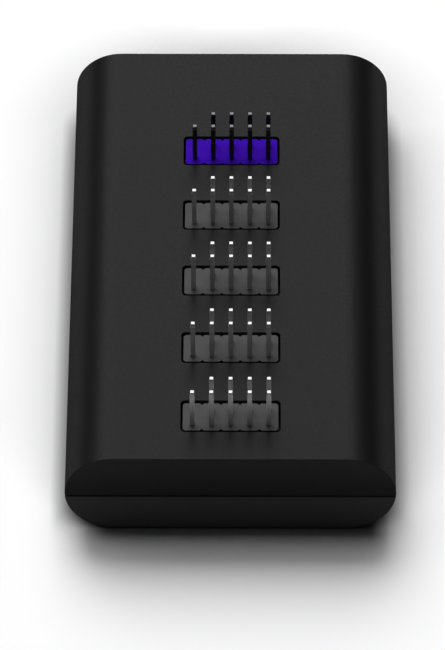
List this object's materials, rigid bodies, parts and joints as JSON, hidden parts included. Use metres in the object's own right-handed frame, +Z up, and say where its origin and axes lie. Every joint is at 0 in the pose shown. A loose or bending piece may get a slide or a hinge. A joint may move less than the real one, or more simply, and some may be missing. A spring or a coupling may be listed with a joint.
{
  "type": "internal usb hub",
  "caption": "Flat black hub housing with rounded long edges and a row of keyed two-row pin headers along its top: a violet upstream header and grey port headers, with a power inlet in one end.",
  "frame": {"origin": "centre of the flat underside", "axes": "+Z up out of the headers, +Y along the hub to the end with the power inlet, +X to the right when looking along +Y"},
  "size_m": [0.044, 0.0804, 0.0191],
  "materials": {
    "housing_black": "fine matt moulded texture",
    "header_grey": "plain moulded",
    "header_violet": "plain moulded",
    "pin_plated": "bright plated",
    "pin_dark": "dark plated with bright cut ends",
    "board_green": "solder mask over glass laminate",
    "screw_steel": "zinc plated",
    "magnet_nickel": "nickel plated",
    "inlet_black": "plain moulded",
    "contact_gold": "gold flash",
    "chip_black": "moulded epoxy",
    "lead_tin": "tin plated",
    "crystal_can": "drawn can",
    "capacitor_can": "drawn can",
    "fuse_green": "polymer chip with tinned ends",
    "ceramic_tan": "fired chip with tinned ends",
    "resistor_black": "glazed chip with tinned ends"
  },
  "bodies": {
    "root": {"top_cover": "housing_black", "bottom_cover": "housing_black", "circuit_board": "board_green", "board_screws": "screw_steel", "magnet_near": "magnet_nickel", "magnet_far": "magnet_nickel", "upstream_header_block": "header_violet", "upstream_header_pins": "pin_dark", "power_inlet_body": "inlet_black", "power_inlet_contacts": "contact_gold", "hub_controller_body": "chip_black", "hub_controller_leads": "lead_tin", "voltage_regulator_body": "chip_black", "voltage_regulator_leads": "lead_tin", "surge_arrays": "chip_black", "clock_crystal": "crystal_can", "bulk_capacitor_bases": "chip_black", "bulk_capacitor_cans": "capacitor_can", "port_fuses": "fuse_green", "ceramic_capacitors": "ceramic_tan", "resistors": "resistor_black", "port_1_header_block": "header_grey", "port_1_header_pins": "pin_plated", "port_2_header_block": "header_grey", "port_2_header_pins": "pin_plated", "port_3_header_block": "header_grey", "port_3_header_pins": "pin_plated", "port_4_header_block": "header_grey", "port_4_header_pins": "pin_plated"}
  },
  "joints": []
}
